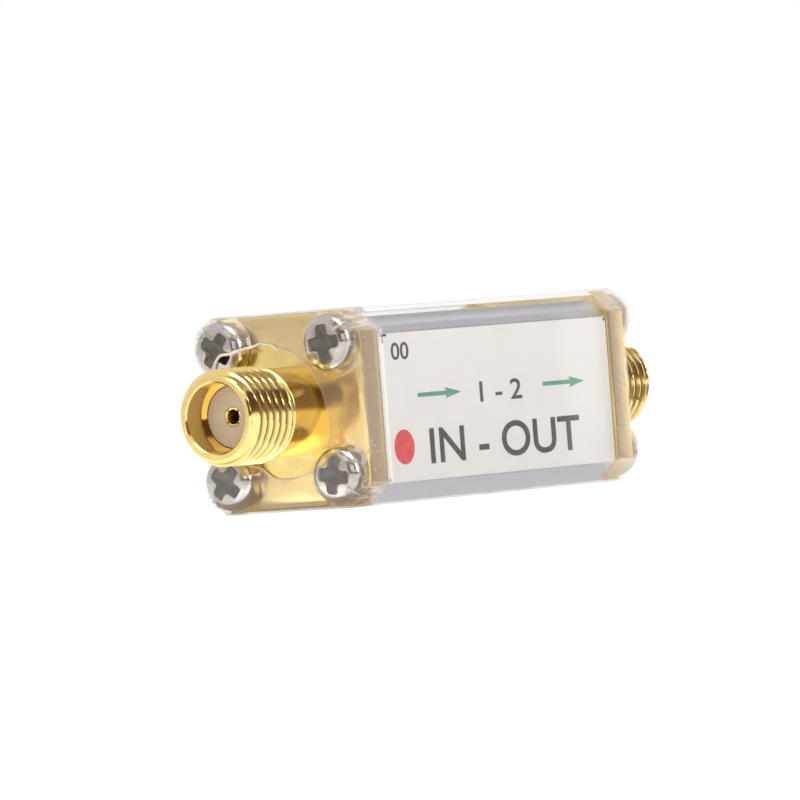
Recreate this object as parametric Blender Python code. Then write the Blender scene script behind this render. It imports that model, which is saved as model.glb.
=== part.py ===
# Coaxial isolator: a circulator whose third port ends in a resistor inside the housing.
# X runs along the connector axis from the input port to the output port, the labelled
# face looks along -Y and Z is up. The origin lies on that axis, halfway along the housing.

import math

import bmesh
import bpy

mm = 0.001

# Clearances between pieces that touch, and between pieces that slide together
seat_gap = 0.02 * mm
disc_fit = 0.10 * mm
plate_fit = 0.05 * mm
lid_fit = 0.03 * mm
pin_fit = 0.02 * mm
thread_fit = 0.03 * mm

# Housing: a bar with chamfered long edges that sits a little low on the flanges
housing_length = 27.0 * mm
housing_setback = 0.28 * mm
housing_drop = 0.25 * mm
housing_chamfer = 1.17 * mm
edge_break = 0.07 * mm

# Gyrator stack, from the conductor outwards on both sides
conductor_thickness = 0.15 * mm
ferrite_fit = 0.20 * mm
ferrite_thickness = 1.15 * mm
ground_thickness = 0.20 * mm
pole_thickness = 0.60 * mm
magnet_thickness = 2.20 * mm

# Pockets milled from the front face
line_pocket_length = 13.2 * mm
lid_land = 0.45 * mm
ledge_width = 0.40 * mm
lid_ledge_length = 0.80 * mm
lid_ledge_height = 0.45 * mm
pocket_corner = 1.0 * mm

# Centre conductor: a disc with three legs, 120 degrees apart
disc_margin = 1.1 * mm
leg_width = 0.9 * mm
leg_spread = math.radians(120)
leg_slope = 1.2 * mm
leg_entry = 0.8 * mm
leg_end_gap = 0.1 * mm
load_length = 2.0 * mm
load_width = 1.25 * mm
load_end_gap = 0.5 * mm
load_wall_gap = 0.45 * mm

# Connectors: 1/4-36 thread, 12.7 mm flange with four holes
flange_side = 12.7 * mm
flange_thickness = 1.8 * mm
barrel_length = 7.9 * mm
neck_length = 3.1 * mm
neck_relief = 0.225 * mm
thread_diameter = 6.35 * mm
thread_lead_in = 0.42 * mm
rim_setback = 0.445 * mm
rim_width = 0.22 * mm
barrel_wall = 0.875 * mm
plug_depth = 1.98 * mm
countersink_depth = 0.25 * mm
plug_shoulder = 0.25 * mm
dielectric_fit = 0.03 * mm
contact_diameter = 1.27 * mm
contact_wall = 0.165 * mm
contact_hole_depth = 3.0 * mm
contact_slot_width = 0.18 * mm
contact_slot_depth = 2.5 * mm
contact_edge = 0.06 * mm
collar_width = 0.215 * mm
collar_length = 0.4 * mm
tail_length = 0.7 * mm

# Flange screws: M2 pan heads with a cross recess, as large as fits between barrel and edge
screw_thread = 2.0 * mm
screw_length = 5.0 * mm
screw_hole_fit = 0.15 * mm
screw_end_gap = 1.2 * mm
head_edge_gap = 0.18 * mm
head_barrel_gap = 1.31 * mm
head_corner_gap = 0.03 * mm
head_height = 1.5 * mm
crown_height = 0.75 * mm
crown_flatness = 0.75
recess_margin = 0.6 * mm
recess_width = 0.9 * mm
recess_depth = 0.95 * mm
recess_floor_span = 0.9 * mm
screw_turns = (20, 35, 12, 50)

# Label and clear shrink sleeve
label_thickness = 0.05 * mm
label_margin = 0.03 * mm
label_input_margin = 0.4 * mm
sleeve_wall = 0.12 * mm
sleeve_sag = 0.08 * mm
sleeve_lip = 2.0 * mm
opening_shift = 0.75 * mm
sleeve_shoulder = 0.9 * mm
sleeve_inner_round = 0.04 * mm
film_overhang = 0.75 * mm
film_skirt = 1.25 * mm

# How far a cutter runs past the face that it opens
cutter_reach = 0.3 * mm

# Facets round a full circle
barrel_facets = 40
disc_facets = 40
pin_facets = 24
screw_facets = 24

# The housing follows the flanges, and its pockets follow the housing
housing_half = flange_side / 2 - housing_setback
port_seat = housing_length / 2 + seat_gap
pocket_half_length = line_pocket_length / 2
lid_half_height = housing_half - housing_chamfer - lid_land
plate_half_height = lid_half_height - lid_ledge_height
line_half_height = plate_half_height - ledge_width

# The stack, the conductor and the load fit their pocket
stack_bore = 2 * line_half_height
magnet_diameter = stack_bore - 2 * disc_fit
ferrite_diameter = stack_bore - 2 * ferrite_fit
hub_diameter = ferrite_diameter - 2 * disc_margin
leg_height = line_half_height - load_wall_gap - load_width / 2
load_center = pocket_half_length - load_end_gap - load_length / 2

# The barrel's bores and steps follow its thread, and the contact's hole its body
neck_diameter = thread_diameter - 2 * neck_relief
rim_diameter = thread_diameter - 2 * rim_setback
plug_bore = thread_diameter - 2 * barrel_wall
dielectric_diameter = plug_bore - 2 * plug_shoulder
contact_hole = contact_diameter - 2 * contact_wall
collar_diameter = contact_diameter + 2 * collar_width

# A head keeps its gaps to barrel, edges and corner cut: they give its place, its size and the cut
head_room = neck_diameter / 2 + head_barrel_gap
hole_pitch = 2 * (flange_side / 2 - head_edge_gap + head_room) / (1 + math.sqrt(2))
head_diameter = 2 * (hole_pitch / math.sqrt(2) - head_room)
flange_chamfer = flange_side - hole_pitch - math.sqrt(2) * (head_diameter / 2 + head_corner_gap)
flange_hole = screw_thread + 2 * screw_hole_fit
recess_span = head_diameter - 2 * recess_margin

# The film domes over the heads and folds in over the flanges
crown_radius = head_diameter / 2 - film_overhang
skirt_radius = head_diameter / 2 + film_skirt
sleeve_opening = flange_side - 2 * sleeve_lip
sleeve_round = sleeve_wall + sleeve_inner_round

# Faces of the stack, measured from the conductor's middle
ferrite_inner = conductor_thickness / 2 + seat_gap
ferrite_outer = ferrite_inner + ferrite_thickness
ground_inner = ferrite_outer + seat_gap
ground_outer = ground_inner + ground_thickness
pole_inner = ground_outer + seat_gap
pole_outer = pole_inner + pole_thickness
magnet_inner = pole_outer + seat_gap
magnet_outer = magnet_inner + magnet_thickness
lid_inner = magnet_outer + seat_gap


def make_material(name, color, roughness, metallic, alpha=1.0):
    material = bpy.data.materials.new(name)
    material.use_nodes = True
    shader = material.node_tree.nodes["Principled BSDF"]
    shader.inputs["Base Color"].default_value = (*color, 1.0)
    shader.inputs["Roughness"].default_value = roughness
    shader.inputs["Metallic"].default_value = metallic
    shader.inputs["Alpha"].default_value = alpha
    return material


def add_object(name, mesh_builder, material, smooth_angle=30):
    mesh = bpy.data.meshes.new(name)
    bmesh.ops.recalc_face_normals(mesh_builder, faces=mesh_builder.faces)
    mesh_builder.to_mesh(mesh)
    mesh_builder.free()
    mesh.shade_smooth()
    mesh.set_sharp_from_angle(angle=math.radians(smooth_angle))
    mesh.materials.append(material)
    piece = bpy.data.objects.new(name, mesh)
    bpy.context.scene.collection.objects.link(piece)
    return piece


def turned(profile, facets, origin=(0.0, 0.0, 0.0)):
    """A body turned round the X axis from (x, radius) points in order."""
    builder = bmesh.new()
    points = [builder.verts.new((x + origin[0], origin[1], radius + origin[2])) for x, radius in profile]
    starts_on_axis = profile[0][1] == 0
    edges = [builder.edges.new(pair) for pair in zip(points, points[1:])]
    if not starts_on_axis:
        edges.append(builder.edges.new((points[-1], points[0])))
    bmesh.ops.spin(builder, geom=points + edges, cent=origin, axis=(1, 0, 0),
                   angle=2 * math.pi, steps=facets, use_merge=True)
    bmesh.ops.remove_doubles(builder, verts=builder.verts, dist=1e-7)
    return builder


def extruded(outline, direction):
    """A prism: a closed outline of 3-D points, drawn out along a vector."""
    builder = bmesh.new()
    face = builder.faces.new([builder.verts.new(point) for point in outline])
    drawn = bmesh.ops.extrude_face_region(builder, geom=[face])
    moved = [item for item in drawn["geom"] if isinstance(item, bmesh.types.BMVert)]
    bmesh.ops.translate(builder, verts=moved, vec=direction)
    return builder


def chamfered_section(half_width, bottom, top, chamfer):
    """The corners of a rectangle with cut corners, in order round the axis."""
    flat, low, high = half_width - chamfer, bottom + chamfer, top - chamfer
    return [(half_width, low), (half_width, high), (flat, top), (-flat, top),
            (-half_width, high), (-half_width, low), (-flat, bottom), (flat, bottom)]


def flange_section(offset=0.0):
    """The flange's outline, or that outline moved outwards by the same distance all round."""
    half = flange_side / 2 + offset
    return chamfered_section(half, -half, half, flange_chamfer + offset * (2 - math.sqrt(2)))


def rounded_rectangle(half_x, half_z, radius, steps=5):
    corners = [(half_x - radius, half_z - radius, 0), (radius - half_x, half_z - radius, 90),
               (radius - half_x, radius - half_z, 180), (half_x - radius, radius - half_z, 270)]
    outline = []
    for x, z, start in corners:
        for step in range(steps + 1):
            angle = math.radians(start + 90 * step / steps)
            outline.append((x + radius * math.cos(angle), z + radius * math.sin(angle)))
    return outline


def plate(half_x, half_z, radius, y_start, y_end):
    """A rounded plate or pocket that lies across Y."""
    outline = [(x, y_start, z) for x, z in rounded_rectangle(half_x, half_z, radius)]
    return extruded(outline, (0, y_end - y_start, 0))


def disc(diameter, y_start, y_end):
    """A round disc or bore whose axis is Y."""
    outline = []
    for step in range(disc_facets):
        angle = 2 * math.pi * step / disc_facets
        outline.append((diameter / 2 * math.cos(angle), y_start, diameter / 2 * math.sin(angle)))
    return extruded(outline, (0, y_end - y_start, 0))


def box(x_range, y_range, z_range):
    outline = [(x_range[0], y_range[0], z_range[0]), (x_range[0], y_range[1], z_range[0]),
               (x_range[0], y_range[1], z_range[1]), (x_range[0], y_range[0], z_range[1])]
    return extruded(outline, (x_range[1] - x_range[0], 0, 0))


def add_cutter(name, mesh_builder):
    cutter = add_object(name, mesh_builder, cutter_finish)
    cutter.hide_render = True
    cutter.display_type = "WIRE"
    return cutter


def shape_with(piece, cutter, operation="DIFFERENCE"):
    modifier = piece.modifiers.new(cutter.name, "BOOLEAN")
    modifier.operation = operation
    modifier.solver = "EXACT"
    modifier.object = cutter


def break_edges(piece):
    bevel = piece.modifiers.new("edge_break", "BEVEL")
    bevel.width = edge_break
    bevel.segments = 1
    bevel.limit_method = "ANGLE"
    bevel.angle_limit = math.radians(30)


def screw_places():
    """The four holes of a flange, in its own Y and Z."""
    return [(side * hole_pitch / 2, level * hole_pitch / 2) for level in (1, -1) for side in (1, -1)]


def hole_ring(diameter, x_start, x_end):
    """Four parallel drill cutters at the flange's screw holes."""
    merged = bmesh.new()
    for y, z in screw_places():
        rod = turned([(x_start, 0), (x_start, diameter / 2), (x_end, diameter / 2), (x_end, 0)],
                     screw_facets, (0.0, y, z))
        mesh = bpy.data.meshes.new("drill")
        rod.to_mesh(mesh)
        rod.free()
        merged.from_mesh(mesh)
        bpy.data.meshes.remove(mesh)
    return merged


def build_housing():
    section = chamfered_section(housing_half, -housing_half - housing_drop, housing_half - housing_drop,
                                housing_chamfer)
    outline = [(-housing_length / 2, y, z) for y, z in section]
    housing = add_object("housing", extruded(outline, (housing_length, 0, 0)), nickel)
    break_edges(housing)
    past_face = housing_half + cutter_reach
    shelf = ground_outer + seat_gap
    cutters = [
        ("line_pocket", plate(pocket_half_length, line_half_height, pocket_corner, -past_face, shelf)),
        ("plate_pocket", plate(pocket_half_length, plate_half_height, pocket_corner,
                               -past_face, -ferrite_outer)),
        ("lid_recess", plate(pocket_half_length + lid_ledge_length, lid_half_height, pocket_corner,
                             -past_face, -magnet_outer)),
        ("stack_bore", disc(stack_bore, 0, lid_inner)),
    ]
    bore_radius = dielectric_diameter / 2 + dielectric_fit
    screw_hole_depth = screw_length - flange_thickness + screw_end_gap
    for side, label in ((-1, "input"), (1, "output")):
        past_end = side * (housing_length / 2 + cutter_reach)
        ends = sorted((side * (pocket_half_length - cutter_reach), past_end))
        profile = [(ends[0], 0), (ends[0], bore_radius), (ends[1], bore_radius), (ends[1], 0)]
        cutters.append((label + "_line_bore", turned(profile, disc_facets)))
        ends = sorted((side * (housing_length / 2 - screw_hole_depth), past_end))
        cutters.append((label + "_screw_holes", hole_ring(screw_thread + 2 * thread_fit, *ends)))
    for name, builder in cutters:
        shape_with(housing, add_cutter(name, builder))


def build_lid():
    half_x = pocket_half_length + lid_ledge_length - lid_fit
    half_z = lid_half_height - lid_fit
    lid = plate(half_x, half_z, pocket_corner - lid_fit, -housing_half, -lid_inner)
    add_object("housing_lid", lid, nickel)


def build_stack():
    layers = [
        ("ferrite", ferrite_diameter, ferrite_inner, ferrite_outer, ferrite_black),
        ("pole_piece", magnet_diameter, pole_inner, pole_outer, plain_steel),
        ("magnet", magnet_diameter, magnet_inner, magnet_outer, magnet_grey),
    ]
    for name, diameter, inner, outer, finish in layers:
        add_object("front_" + name, disc(diameter, -outer, -inner), finish)
        add_object("back_" + name, disc(diameter, inner, outer), finish)
    half_x = pocket_half_length - plate_fit
    half_z = line_half_height - plate_fit
    radius = pocket_corner - plate_fit
    front = plate(half_x, half_z + ledge_width, radius, -ground_outer, -ground_inner)
    back = plate(half_x, half_z, radius, ground_inner, ground_outer)
    add_object("front_ground_plate", front, silver)
    add_object("back_ground_plate", back, silver)


def leg_sides(path):
    """The two edges of a flat leg that follows a path of (x, z) points."""
    half = leg_width / 2
    normals = []
    for start, end in zip(path, path[1:]):
        length = math.dist(start, end)
        normals.append(((start[1] - end[1]) / length, (end[0] - start[0]) / length))
    left, right = [], []
    for index, point in enumerate(path[1:], 1):
        before = normals[index - 1]
        after = normals[min(index, len(normals) - 1)]
        share = half / (1 + before[0] * after[0] + before[1] * after[1])
        shift = ((before[0] + after[0]) * share, (before[1] + after[1]) * share)
        left.append((point[0] + shift[0], point[1] + shift[1]))
        right.append((point[0] - shift[0], point[1] - shift[1]))
    return left, right


def build_conductor():
    leg_end = pocket_half_length - seat_gap - collar_length - leg_end_gap
    turn = (leg_height / math.tan(leg_spread / 2), leg_height)
    drop = leg_end - leg_entry
    output_path = [(0, 0), turn, (drop - leg_slope, leg_height), (drop, 0), (leg_end, 0)]
    load_path = [(0, 0), (turn[0], -leg_height), (load_center + load_length / 4, -leg_height)]
    input_path = [(0, 0), (-leg_end, 0)]
    legs = [(leg_spread / 2, output_path), (math.pi, input_path), (-leg_spread / 2, load_path)]
    radius = hub_diameter / 2
    half_angle = math.asin(leg_width / hub_diameter)
    outline = []
    for index, (angle, path) in enumerate(legs):
        left, right = leg_sides(path)
        outline.append((radius * math.cos(angle - half_angle), radius * math.sin(angle - half_angle)))
        outline.extend(right)
        outline.extend(reversed(left))
        start = angle + half_angle
        following = legs[(index + 1) % len(legs)][0] - half_angle
        sweep = (following - start) % (2 * math.pi)
        steps = 8
        for step in range(steps):
            arc = start + sweep * step / steps
            outline.append((radius * math.cos(arc), radius * math.sin(arc)))
    points = [(x, -conductor_thickness / 2, z) for x, z in outline]
    add_object("centre_conductor", extruded(points, (0, conductor_thickness, 0)), silver)
    load = box((load_center - load_length / 2, load_center + load_length / 2),
               (ferrite_inner, ferrite_outer),
               (-leg_height - load_width / 2, -leg_height + load_width / 2))
    add_object("load_resistor", load, white_ceramic)


def connector_mesh():
    """Flange and threaded barrel, outwards along X from the flange's back face."""
    outline = [(0.0, y, z) for y, z in flange_section()]
    body = add_object("connector_blank", extruded(outline, (flange_thickness, 0, 0)), gold)
    break_edges(body)
    tip = flange_thickness + barrel_length
    neck, crest = neck_diameter / 2, thread_diameter / 2
    thread_start = flange_thickness + neck_length
    root = flange_thickness / 2
    barrel = turned([(root, 0), (root, neck), (thread_start, neck), (thread_start + crest - neck, crest),
                     (tip - thread_lead_in, crest), (tip, rim_diameter / 2), (tip, 0)], barrel_facets)
    mouth = rim_diameter / 2 - rim_width
    shoulder = tip - plug_depth
    line_radius = dielectric_diameter / 2 + dielectric_fit
    past_mouth = mouth + (mouth - plug_bore / 2) * cutter_reach / countersink_depth
    bore = turned([(-cutter_reach, 0), (-cutter_reach, line_radius), (shoulder, line_radius),
                   (shoulder, plug_bore / 2), (tip - countersink_depth, plug_bore / 2),
                   (tip + cutter_reach, past_mouth), (tip + cutter_reach, 0)], barrel_facets)
    holes = hole_ring(flange_hole, -cutter_reach, flange_thickness + cutter_reach)
    shape_with(body, add_cutter("barrel", barrel), "UNION")
    shape_with(body, add_cutter("plug_bore", bore))
    shape_with(body, add_cutter("flange_holes", holes))
    return finished_mesh("connector", body)


def contact_mesh():
    """Slotted socket contact, from its face at the plug end to its slotted tail in the housing."""
    face = flange_thickness + barrel_length - plug_depth
    wall = -(port_seat - pocket_half_length)
    collar = wall - seat_gap
    tail_end = collar - collar_length - tail_length
    radius = contact_diameter / 2
    hole = contact_hole / 2
    profile = [(face - contact_hole_depth - hole / 2, 0), (face - contact_hole_depth, hole),
               (face - contact_edge, hole), (face, hole + contact_edge), (face, radius - contact_edge / 2),
               (face - contact_edge / 2, radius), (collar, radius), (collar, collar_diameter / 2),
               (collar - collar_length, collar_diameter / 2), (collar - collar_length, radius),
               (tail_end, radius), (tail_end, 0)]
    body = add_object("contact_blank", turned(profile, pin_facets), gold)
    slot = contact_slot_width / 2
    reach = collar_diameter / 2 + cutter_reach
    tines = (face - contact_slot_depth, face + cutter_reach)
    shape_with(body, add_cutter("tine_slot_across", box(tines, (-reach, reach), (-slot, slot))))
    shape_with(body, add_cutter("tine_slot_upright", box(tines, (-slot, slot), (-reach, reach))))
    strip_half = conductor_thickness / 2 + seat_gap
    strip_slot = box((tail_end - cutter_reach, collar - collar_length), (-strip_half, strip_half),
                     (-reach, reach))
    shape_with(body, add_cutter("strip_slot", strip_slot))
    return finished_mesh("contact", body)


def dielectric_mesh():
    face = flange_thickness + barrel_length - plug_depth
    wall = -(port_seat - pocket_half_length)
    outer = dielectric_diameter / 2
    inner = contact_diameter / 2 + pin_fit
    profile = [(wall, inner), (wall, outer), (face, outer), (face, inner)]
    return finished_mesh("dielectric", add_object("dielectric_blank", turned(profile, barrel_facets), ptfe))


def recess_wing(upright):
    """One tapered bar of the cross recess, as wide at the crown of the head as recess_span."""
    floor = head_height - recess_depth
    flare = (recess_span - recess_floor_span) / 2 * (recess_depth + cutter_reach) / recess_depth
    spans = ((floor, recess_floor_span / 2, recess_width / 3),
             (head_height + cutter_reach, recess_floor_span / 2 + flare, recess_width / 2))
    builder = bmesh.new()
    rings = []
    for x, along, across in spans:
        corners = [(along, across), (-along, across), (-along, -across), (along, -across)]
        rings.append([builder.verts.new((x, z, y) if upright else (x, y, z)) for y, z in corners])
    for index in range(4):
        following = (index + 1) % 4
        builder.faces.new((rings[0][index], rings[0][following], rings[1][following], rings[1][index]))
    builder.faces.new(rings[0])
    builder.faces.new(rings[1])
    return builder


def screw_mesh():
    """Pan head screw whose seat is at x = 0 and whose head points along X."""
    radius = head_diameter / 2
    shank = screw_thread / 2
    point = shank / 3
    profile = [(-screw_length, 0), (-screw_length, shank - point), (point - screw_length, shank),
               (0, shank), (0, radius - edge_break), (edge_break, radius),
               (head_height - crown_height, radius)]
    dome_steps = 5
    for step in range(1, dome_steps + 1):
        angle = math.pi / 2 * step / dome_steps
        profile.append((head_height - crown_height * (1 - math.sin(angle)),
                        radius * math.cos(angle) ** crown_flatness))
    profile[-1] = (head_height, 0)
    body = add_object("screw_blank", turned(profile, screw_facets), steel)
    shape_with(body, add_cutter("recess_across", recess_wing(False)))
    shape_with(body, add_cutter("recess_upright", recess_wing(True)))
    return finished_mesh("screw", body)


def finished_mesh(name, piece):
    """The shape that a piece's modifiers give, as a mesh that copies can share."""
    bpy.context.view_layer.update()
    graph = bpy.context.evaluated_depsgraph_get()
    mesh = bpy.data.meshes.new_from_object(piece.evaluated_get(graph))
    mesh.name = name
    tools = [modifier.object for modifier in piece.modifiers if modifier.type == "BOOLEAN"]
    for spent in tools + [piece]:
        bpy.data.objects.remove(spent)
    return mesh


def place(name, mesh, parent, location=(0.0, 0.0, 0.0), turn=0.0):
    piece = bpy.data.objects.new(name, mesh)
    bpy.context.scene.collection.objects.link(piece)
    piece.parent = parent
    piece.location = location
    piece.rotation_euler = (turn, 0.0, 0.0)
    return piece


def build_ports():
    """Both connectors with their screws; each port's own X points out of the housing."""
    connector, contact = connector_mesh(), contact_mesh()
    dielectric, screw = dielectric_mesh(), screw_mesh()
    for name, side, heading in (("input", -1, math.pi), ("output", 1, 0.0)):
        port = bpy.data.objects.new(name + "_port", None)
        bpy.context.scene.collection.objects.link(port)
        port.location = (side * port_seat, 0.0, 0.0)
        port.rotation_euler = (0.0, 0.0, heading)
        place(name + "_connector", connector, port)
        place(name + "_dielectric", dielectric, port)
        place(name + "_contact", contact, port)
        for number, ((y, z), turn) in enumerate(zip(screw_places(), screw_turns), 1):
            place(f"{name}_screw_{number}", screw, port, (flange_thickness + seat_gap, y, z),
                  math.radians(turn))


def build_label():
    half_height = housing_half - housing_chamfer - label_margin
    front = -housing_half - seat_gap
    ends = (label_input_margin - housing_length / 2, housing_length / 2 - label_margin)
    levels = (-half_height - housing_drop, half_height - housing_drop)
    add_object("label", box(ends, (front - label_thickness, front), levels), label_paper)


def sleeve_outline(corners):
    """Points round a chamfered section, more on its long sides than on its chamfers."""
    points = []
    for index, start in enumerate(corners):
        end = corners[(index + 1) % len(corners)]
        steps = 3 if index % 2 else 9
        for step in range(steps):
            share = step / steps
            points.append((start[0] + (end[0] - start[0]) * share, start[1] + (end[1] - start[1]) * share))
    return points


def film_rise(y, z):
    """How far the film stands off the flange: a dome over each screw that falls away round it."""
    distance = math.hypot(abs(y) - hole_pitch / 2, abs(z) - hole_pitch / 2)
    fall = min(max((distance - crown_radius) / (skirt_radius - crown_radius), 0.0), 1.0)
    fall = fall * fall * (3 - 2 * fall)
    return seat_gap * 2 + (head_height + seat_gap) * (1 - fall)


def sleeve_skin(depth):
    """Rings of one face of the film, from the input opening to the output opening.
    depth is measured inwards from the film's outer face."""
    flange_face = port_seat + flange_thickness
    offset = seat_gap + sleeve_wall - depth
    rounding = sleeve_round - depth
    edge = sleeve_outline(flange_section(offset))
    turned_in = sleeve_outline(flange_section(offset - rounding))
    body = sleeve_outline(chamfered_section(housing_half + label_thickness + seat_gap + offset,
                                            -housing_half - housing_drop - offset,
                                            flange_side / 2 + offset - sleeve_sag,
                                            housing_chamfer + offset * (2 - math.sqrt(2))))
    lip_steps = 6
    lip = []
    for step in range(lip_steps, -1, -1):
        share = step / lip_steps
        ring = []
        for y, z in turned_in:
            reach = math.hypot(y - opening_shift, z)
            scale = (1 - share) + share * (sleeve_opening / 2) / reach
            point = (opening_shift + (y - opening_shift) * scale, z * scale)
            ring.append((flange_face + film_rise(*point) + sleeve_wall - depth, *point))
        lip.append(ring)
    corner = [(flange_face + film_rise(y, z) + sleeve_wall - depth - rounding, y, z) for y, z in edge]
    shoulder = housing_length / 2
    half = lip + [corner, [(shoulder, y, z) for y, z in edge],
                  [(shoulder - sleeve_shoulder, y, z) for y, z in body]]
    far = [[(-x, y, z) for x, y, z in ring] for ring in half]
    return far + half[::-1]


def build_sleeve():
    rings = sleeve_skin(0.0) + sleeve_skin(sleeve_wall)[::-1]
    builder = bmesh.new()
    grid = [[builder.verts.new(point) for point in ring] for ring in rings]
    for index, ring in enumerate(grid):
        following = grid[(index + 1) % len(grid)]
        for spot in range(len(ring)):
            beside = (spot + 1) % len(ring)
            builder.faces.new((ring[spot], ring[beside], following[beside], following[spot]))
    add_object("shrink_sleeve", builder, clear_film, 50)


for leftover in list(bpy.data.objects):
    bpy.data.objects.remove(leftover)

nickel = make_material("nickel_plate", (0.52, 0.52, 0.55), 0.34, 1.0)
gold = make_material("gold_plate", (0.83, 0.55, 0.16), 0.22, 1.0)
steel = make_material("stainless_steel", (0.55, 0.54, 0.53), 0.20, 1.0)
plain_steel = make_material("plain_steel", (0.40, 0.40, 0.41), 0.45, 1.0)
silver = make_material("silver_plate", (0.86, 0.85, 0.82), 0.25, 1.0)
ptfe = make_material("ptfe", (0.80, 0.69, 0.64), 0.45, 0.0)
ferrite_black = make_material("garnet_ferrite", (0.05, 0.05, 0.06), 0.55, 0.0)
magnet_grey = make_material("ferrite_magnet", (0.12, 0.12, 0.13), 0.60, 0.0)
white_ceramic = make_material("alumina", (0.80, 0.80, 0.78), 0.50, 0.0)
label_paper = make_material("label_paper", (0.82, 0.79, 0.75), 0.60, 0.0)
clear_film = make_material("clear_film", (0.90, 0.90, 0.90), 0.12, 0.0, 0.25)
cutter_finish = make_material("cutter", (0.8, 0.2, 0.2), 0.5, 0.0)

build_housing()
build_lid()
build_stack()
build_conductor()
build_ports()
build_label()
build_sleeve()
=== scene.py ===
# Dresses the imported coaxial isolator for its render: threaded gold sockets, cross-recess screws,
# a printed label and a clear shrink film, on a plain white table. Metres, X from input to output,
# the label looks along -Y, Z is up.

from math import atan2, cos, degrees, hypot, pi, radians, sin

import bmesh
import bpy
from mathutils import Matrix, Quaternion, Vector, noise


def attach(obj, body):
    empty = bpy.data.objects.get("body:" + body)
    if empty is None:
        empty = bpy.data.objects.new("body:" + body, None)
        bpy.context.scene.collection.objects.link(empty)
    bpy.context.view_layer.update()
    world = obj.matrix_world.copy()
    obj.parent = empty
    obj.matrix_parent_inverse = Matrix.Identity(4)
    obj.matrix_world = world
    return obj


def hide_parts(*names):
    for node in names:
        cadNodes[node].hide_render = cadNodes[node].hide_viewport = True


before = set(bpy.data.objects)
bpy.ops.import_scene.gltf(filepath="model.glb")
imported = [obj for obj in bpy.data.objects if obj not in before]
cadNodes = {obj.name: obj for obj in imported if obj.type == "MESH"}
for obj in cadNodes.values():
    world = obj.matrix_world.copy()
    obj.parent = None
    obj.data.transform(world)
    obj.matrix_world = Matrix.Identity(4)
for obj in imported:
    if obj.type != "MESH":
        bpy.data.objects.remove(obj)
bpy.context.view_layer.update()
mm = 0.001
print("frame loaded,", len(cadNodes), "nodes")

# Sizes that several pieces share, as in the solids
body = {
    "housingHalf": 13.5 * mm,        # half its length
    "flangeBack": 13.52 * mm,
    "flangeFace": 15.32 * mm,
    "flangeSide": 12.7 * mm,
    "flangeCut": 1.401 * mm,         # corner chamfer of the flange
    "holePitch": 8.6405 * mm,
    "holeRadius": 1.15 * mm,
    "headDiameter": 3.6995 * mm,
    "headHeight": 1.5 * mm,
    "gap": 0.02 * mm,
    "pastFace": 0.3 * mm,            # how far a cutter reaches past the face that it cuts
}


# Small tools

def srgb(code):
    channels = [int(code[at:at + 2], 16) / 255 for at in (1, 3, 5)]
    linear = [c / 12.92 if c <= 0.04045 else ((c + 0.055) / 1.055) ** 2.4 for c in channels]
    return (*linear, 1.0)


def clamped(value):
    return min(max(value, 0.0), 1.0)


def eased(share):
    return share * share * (3 - 2 * share)


def addNode(tree, kind, inputs=None, **settings):
    # kind may leave out the word ShaderNode; an input is a value, a socket or a node, which gives
    # its first output in use
    node = tree.nodes.new(kind if "Node" in kind else "ShaderNode" + kind)
    for name, value in settings.items():
        setattr(node, name, value)
    for key, value in (inputs or {}).items():
        if isinstance(value, bpy.types.Node):
            value = next(output for output in value.outputs if output.enabled)
        if isinstance(value, bpy.types.NodeSocket):
            tree.links.new(value, node.inputs[key])
        else:
            node.inputs[key].default_value = value
    return node


def addSteps(tree, values, steps):
    # a chain of sums, each with its result, its operation and its operands, by name or as numbers
    for result, operation, *operands in steps:
        inputs = {index: values.get(operand, operand) for index, operand in enumerate(operands)}
        if operation == "RANGE":
            values[result] = addNode(tree, "MapRange", inputs)
        else:
            values[result] = addNode(tree, "Math", inputs, operation=operation)


def emptyTree(owner):
    owner.use_nodes = True
    owner.node_tree.nodes.clear()
    return owner.node_tree


def newMaterial(name):
    # an empty material, its tree, and the Object coordinates for its patterns
    material = bpy.data.materials.new(name)
    tree = emptyTree(material)
    return material, tree, addNode(tree, "TexCoord").outputs["Object"]


def closeMaterial(material, shader):
    addNode(material.node_tree, "OutputMaterial", {"Surface": shader})
    return material


def addObject(name, data):
    item = bpy.data.objects.new(name, data)
    bpy.context.scene.collection.objects.link(item)
    return item


def smoothed(mesh, angle):
    mesh.shade_smooth()
    mesh.set_sharp_from_angle(angle=radians(angle))


def addPiece(name, builder, material, smoothAngle=30):
    mesh = bpy.data.meshes.new(name)
    builder.to_mesh(mesh)
    builder.free()
    smoothed(mesh, smoothAngle)
    mesh.materials.append(material)
    return addObject(name, mesh)


def liveMesh(piece):
    # a new mesh, as the object's modifiers or its text give it
    bpy.context.view_layer.update()
    graph = bpy.context.evaluated_depsgraph_get()
    return bpy.data.meshes.new_from_object(piece.evaluated_get(graph))


def plainMesh(piece, smoothAngle=30):
    # swaps an object's live modifiers for the mesh that they give, and removes the cutters
    mesh = liveMesh(piece)
    tools = [modifier.object for modifier in piece.modifiers if modifier.type == "BOOLEAN"]
    piece.modifiers.clear()
    piece.data = mesh
    mesh.name = piece.name
    smoothed(mesh, smoothAngle)
    for tool in tools:
        bpy.data.objects.remove(tool)
    return piece


def addBevel(piece, width, sharpAngle=30):
    bevel = piece.modifiers.new("edges", "BEVEL")
    bevel.width = width
    bevel.segments = 2
    bevel.limit_method = "ANGLE"
    bevel.angle_limit = radians(sharpAngle)


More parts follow.
